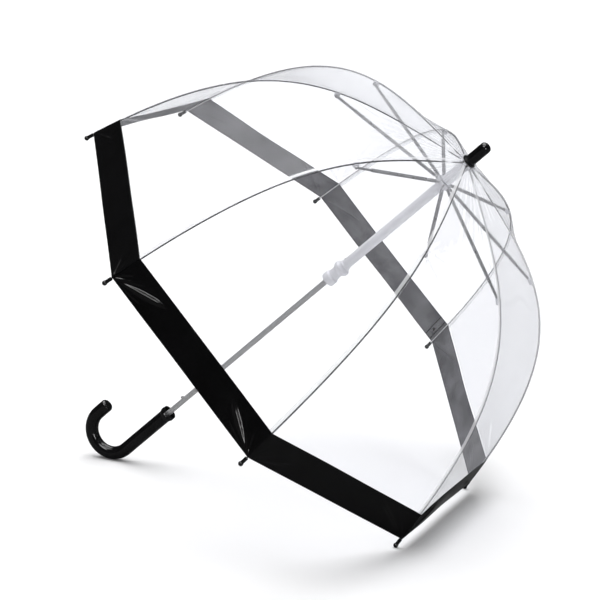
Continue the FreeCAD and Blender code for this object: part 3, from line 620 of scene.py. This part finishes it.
def film_relief(arc, across, section, number, creases):
    """How far the film stands out from its ruled shape: slack between the ribs, folds and welds."""
    half_width = section.half_width(arc)
    x = across * half_width
    slack = 1 - across ** 2
    fade = 1 - smooth(arc, section.length - SLACK_FADES, section.length)
    hold = smooth(arc, *SLACK_GROWS) * fade
    relief = -SLACK_DEPTH * slack * hold
    for side in (-1, 1):
        inward = half_width - side * x
        for corner, fan in creases:
            for turn, (fold, angle, width, length, height) in enumerate(fan):
                varied = math.sin(number * 2.3 + side * 1.7 + turn * 3.1)
                if fold is pleat and (number, side) in CALM_CORNERS:
                    continue
                relief = relief + fold(
                    inward,
                    corner - arc,
                    math.radians(angle + VARIED_ANGLE * varied),
                    width,
                    length * (1 + VARIED_LENGTH * varied),
                    height * (1 + VARIED_HEIGHT * varied),
                )
    gather = sum(high * np.cos(across * waves + shift * number) for high, waves, shift in GATHERS)
    fade = 1 - smooth(arc, *GATHERS_FADE)
    relief = relief + gather * smooth(arc, *GATHERS_GROW) * fade * slack
    from_seam = half_width - x
    wave = np.sin((arc - section.border) * 2 * math.pi / RIPPLE_PITCH + RIPPLE_LEAN * across)
    ripple = wave * np.exp(-((from_seam / RIPPLE_REACH) ** 2))
    start, full = RIPPLES_GROW
    grow = smooth(arc, section.border - start, section.border - full)
    fade = 1 - smooth(arc, section.border - RIPPLES_FADE, section.border)
    relief = relief + RIPPLE_HEIGHT * ripple * grow * slack * fade
    billow = np.sin(arc * BILLOW_ALONG + number * 1.7) * np.sin(across * BILLOW_ACROSS + number)
    relief = relief + BILLOW_HEIGHT * billow * slack * smooth(arc, *BILLOWS_GROW)
    return relief + WELD_HEIGHT * (1 - smooth(from_seam, SEAM_END - WELD_EDGE, SEAM_END + WELD_EDGE))


def add_map(mesh, flat):
    """Smooth shading, and a map coordinate for every vertex."""
    corners = np.zeros(len(mesh.loops), np.int32)
    mesh.loops.foreach_get("vertex_index", corners)
    layer = mesh.uv_layers.new(name="film")
    layer.data.foreach_set("uv", flat[corners].astype(np.float32).ravel())
    mesh.polygons.foreach_set("use_smooth", np.ones(len(mesh.polygons), bool))


def add_piece(name, mesh, material):
    """An object of the mesh, in the scene, with its material."""
    mesh.materials.append(material)
    piece = bpy.data.objects.new(name, mesh)
    bpy.context.scene.collection.objects.link(piece)
    return piece


def thin_sheet(name, outer, inner, outer_map, inner_map, material):
    """A closed thin mesh between two grids of points, with map coordinates for each grid."""
    rows, columns = outer.shape[:2]
    count = rows * columns
    index = np.arange(count).reshape(rows, columns)
    a, b = index[:-1, :-1].ravel(), index[1:, :-1].ravel()
    c, d = index[1:, 1:].ravel(), index[:-1, 1:].ravel()
    front = np.stack([a, b, c, d], axis=1)
    back = np.stack([a, d, c, b], axis=1) + count
    rim = np.concatenate([index[0, :], index[1:, -1], index[-1, -2::-1], index[-2:0:-1, 0]])
    following = np.roll(rim, -1)
    wall = np.stack([rim, following, following + count, rim + count], axis=1)
    points = np.concatenate([outer.reshape(-1, 3), inner.reshape(-1, 3)])
    mesh = bpy.data.meshes.new(name)
    mesh.from_pydata(points.tolist(), [], np.concatenate([front, back, wall]).tolist())
    add_map(mesh, np.concatenate([outer_map.reshape(-1, 2), inner_map.reshape(-1, 2)]))
    piece = add_piece(name, mesh, material)
    mesh.validate()
    return piece


def film_piece(name, number, section, axes, arcs, columns, creases, material, node):
    """One panel's strip of film between two distances along the ribs, as a thin closed sheet."""
    across = np.linspace(-1, 1, columns)
    arc_grid, across_grid = np.meshgrid(arcs, across, indexing="ij")
    relief = film_relief(arc_grid, across_grid, section, number, creases)
    layers = []
    for side in (0.5, -0.5):
        radius, height = section.at(arc_grid, FILM_OFFSET + relief + side * FILM_THICKNESS)
        layers.append(axes.points(number, radius, height, across_grid))
    from_seam = (1 - across_grid) * section.half_width(arc_grid)
    flat = np.stack([from_seam, arc_grid + number], axis=2)
    piece = thin_sheet(name, *layers, flat, flat + (0, INNER_FACE), material)
    out, side = axes.panel(number)
    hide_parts(node)
    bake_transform(piece)
    return piece


GORE_GRID = (160, 81)
BORDER_GRID = (48, 241)


def make_film(axes, section, materials):
    """Each panel's clear film and black border."""
    gore_creases = ((section.border, GORE_CREASES), (CLIP_ARC, CLIP_CREASES))
    border_creases = ((section.length, BORDER_CREASES),)
    for number in range(1, RIBS + 1):
        for kind, low, high, (rows, columns), slot, creases in (
            ("gore", 0.0, section.border, GORE_GRID, "clear_film", gore_creases),
            ("border", section.border, section.length, BORDER_GRID, "border_film", border_creases),
        ):
            arcs = np.linspace(low, high, rows)
            piece = film_piece(
                f"{kind}_film_{number}", number, section, axes, arcs, columns, creases,
                materials[slot], f"{kind}_{number}",
            )
            radius = section.at(arcs, FILM_OFFSET)[0]


# --- the strap ---

STRAP_FROM_RIB = 0.005
STRAP_WIDTH = 0.010
STRAP_THICKNESS = 0.0003
# How wide the strap's black edges are: painted shade at its sides, where the painted sheen of its
# middle is left off.
STRAP_SHADED_EDGE = 0.0012
# The change from the dark edge to the middle, and the gap between the border film and the strap.
SHADED_EDGE_STEP = 0.0001
STRAP_GAP = 0.0001
# How far the strap stays inside the border's edges, and how much shorter its second layer is.
STRAP_MARGIN = 0.0015
STRAP_SHORT = 0.004
FOLD_RADIUS = 0.000225
STRAP_STEPS = 24
FOLD_STEPS = 9
# The row of the strap's mesh that the stud is on, counted from the free end.
STUD_ROW = -9
# The stud's outline, as (radius, height).
STUD_PROFILE = (
    (0.0, 0.0),
    (0.0024, 0.0),
    (0.0026, 0.0002),
    (0.0025, 0.0006),
    (0.0018, 0.0010),
    (0.0008, 0.0011),
    (0.0, 0.0011),
)
STUD_SEGMENTS = 32


def strap_path(section):
    """The strap's centre line and its normal, as (distance along the rib, depth under the film)."""
    low, high = section.length - STRAP_MARGIN, section.border + STRAP_MARGIN
    first = -0.5 * FILM_THICKNESS - STRAP_GAP - 0.5 * STRAP_THICKNESS
    line = [(arc, first, 0.0, 1.0) for arc in np.linspace(low, high, STRAP_STEPS)]
    for turn in np.linspace(0, math.pi, FOLD_STEPS)[1:-1]:
        sine, cosine = math.sin(turn), math.cos(turn)
        line.append((high - FOLD_RADIUS * sine, first - FOLD_RADIUS * (1 - cosine), -sine, cosine))
    last = first - 2 * FOLD_RADIUS
    line += [(arc, last, 0.0, -1.0) for arc in np.linspace(high, low - STRAP_SHORT, STRAP_STEPS)]
    return np.array(line)


def make_strap(axes, section, materials):
    """A strip of border film folded once against the border's inside, closed by a press stud."""
    path = strap_path(section)
    near = np.array([0, STRAP_SHADED_EDGE, STRAP_SHADED_EDGE + SHADED_EDGE_STEP])
    far = np.array([STRAP_WIDTH - STRAP_SHADED_EDGE - SHADED_EDGE_STEP, STRAP_WIDTH - STRAP_SHADED_EDGE, STRAP_WIDTH])
    columns = np.concatenate([near, far])
    creases = ((section.length, BORDER_CREASES),)
    layers = []
    for side in (0.5, -0.5):
        arc = path[:, 0] + side * STRAP_THICKNESS * path[:, 2]
        depth = path[:, 1] + side * STRAP_THICKNESS * path[:, 3]
        arc, from_rib = np.meshgrid(arc, STRAP_FROM_RIB + columns, indexing="ij")
        across = from_rib / section.half_width(arc) - 1
        relief = film_relief(arc, across, section, STRAP_RIB, creases)
        radius, height = section.at(arc, FILM_OFFSET + relief + depth[:, None])
        layers.append(axes.points(STRAP_RIB, radius, height, across))
    # The middle of the strap takes the inner face's painted sheen; its edges are left black as
    # painted shade.
    painted_sheen_offset = INNER_FACE * np.array([0, 0, 1, 1, 0, 0])
    flat = np.stack(np.broadcast_arrays(columns, path[:, :1] + painted_sheen_offset), axis=2)
    strap = thin_sheet("tie_strap_film", *layers, flat, flat, materials["border_film"])
    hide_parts("tie_strap")
    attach(strap, f"rib_{STRAP_RIB}")
    seat = layers[0][STUD_ROW, 2:4].mean(axis=0)
    inward = seat - layers[1][STUD_ROW, 2:4].mean(axis=0)
    inward = inward / np.linalg.norm(inward)
    stud = lathe("tie_strap_stud", STUD_PROFILE, seat, inward, materials["black_gloss"])
    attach(stud, f"rib_{STRAP_RIB}")


def lathe(name, profile, origin, axis, material):
    """A turned piece: (radius, height) points about an axis from an origin."""
    axis = Vector(axis)
    turn = axis.to_track_quat("Z", "Y").to_matrix()
    mesh = bmesh.new()
    rings = []
    for radius, height in profile:
        if radius == 0:
            rings.append([mesh.verts.new(Vector(origin) + axis * height)])
            continue
        ring = []
        for k in range(STUD_SEGMENTS):
            angle = 2 * math.pi * k / STUD_SEGMENTS
            spoke = turn @ Vector((radius * math.cos(angle), radius * math.sin(angle), height))
            ring.append(mesh.verts.new(Vector(origin) + spoke))
        rings.append(ring)
    for lower, upper in zip(rings, rings[1:]):
        for k in range(STUD_SEGMENTS):
            corners = [
                lower[k % len(lower)],
                lower[(k + 1) % len(lower)],
                upper[(k + 1) % len(upper)],
                upper[k % len(upper)],
            ]
            mesh.faces.new(list(dict.fromkeys(corners)))
    bmesh.ops.recalc_face_normals(mesh, faces=mesh.faces)
    for face in mesh.faces:
        face.smooth = True
    data = bpy.data.meshes.new(name)
    mesh.to_mesh(data)
    mesh.free()
    return add_piece(name, data, material)


# --- the crown patch ---

# The patch's inside, above the crown ring, and its clearance there.
PATCH_HEIGHT = 0.003
PATCH_GAP = 0.00005
PATCH_THICKNESS = 0.0004
# Its hole's radius, the radius past which it slopes down, its outer radius, and its drop there.
PATCH_INNER = 0.0036
PATCH_BEND = 0.0096
PATCH_RADIUS = 0.014
PATCH_DROP = 0.0021
PUCKER_HEIGHT = 0.0005
PATCH_TURNS = 96
PATCH_RINGS = 14
# Keeps the patch's map coordinates clear of the clear film's weld.
PATCH_MAP = 0.1


def make_patch(axes, materials):
    """The round patch of film that closes the crown, flat under the ferrule, puckered at its edge."""
    angles = np.linspace(0, 2 * math.pi, PATCH_TURNS, endpoint=False)
    radii = np.linspace(PATCH_INNER, PATCH_RADIUS, PATCH_RINGS)
    angle, radius = np.meshgrid(angles, np.concatenate([radii, radii[::-1]]), indexing="ij")
    past = np.clip((radius - PATCH_BEND) / (PATCH_RADIUS - PATCH_BEND), 0, 1)
    pucker = 0.5 + 0.3 * np.cos(8 * angle) + 0.2 * np.cos(21 * angle + 1)
    height = PATCH_HEIGHT + PATCH_GAP - PATCH_DROP * past + PUCKER_HEIGHT * pucker * past ** 2
    height[:, :PATCH_RINGS] += PATCH_THICKNESS
    x, y = radius * np.cos(angle), radius * np.sin(angle)
    ahead = axes.radials[0]
    points = (
        axes.crown
        + np.multiply.outer(x, ahead)
        + np.multiply.outer(y, np.cross(axes.up, ahead))
        + np.multiply.outer(height, axes.up)
    )
    index = np.arange(points.shape[0] * points.shape[1]).reshape(points.shape[:2])
    next_turn, next_ring = np.roll(index, -1, axis=0), np.roll(index, -1, axis=1)
    both = np.roll(next_ring, -1, axis=0)
    faces = np.stack([index, next_ring, both, next_turn], axis=2).reshape(-1, 4)
    mesh = bpy.data.meshes.new("crown_film")
    mesh.from_pydata(points.reshape(-1, 3).tolist(), [], faces.tolist())
    add_map(mesh, np.stack([PATCH_MAP + x, y], axis=2).reshape(-1, 2))
    patch = add_piece("crown_film", mesh, materials["clear_film"])
    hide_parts("crown_patch")
    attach(patch, "shaft")


# --- the whole ---

# The point on the shaft, above the plane of the rim, that the ribs' painted lit sides face; their
# other sides get painted shade.
LIT_SIDE_HEIGHT = 0.08


def dress_nodes(materials):
    """Gives every CAD node the material of its slot in the record."""
    slots = {part["node"]: part["material_slot"] for part in RECORD["subparts"]}
    for name, node in NODES.items():
        node.data.materials.clear()
        node.data.materials.append(materials[slots[name]])


bpy.context.scene.view_settings.view_transform = "Standard"
add_camera()
add_world()
for strip_light in STRIP_LIGHTS:
    add_strip_light(*strip_light)
add_floor()
AXES = ShaftAxes()
SECTION = Section()
MATERIALS = make_materials(SECTION, AXES.rim_centre + LIT_SIDE_HEIGHT * AXES.up)
dress_nodes(MATERIALS)
make_film(AXES, SECTION, MATERIALS)
make_strap(AXES, SECTION, MATERIALS)
make_patch(AXES, MATERIALS)
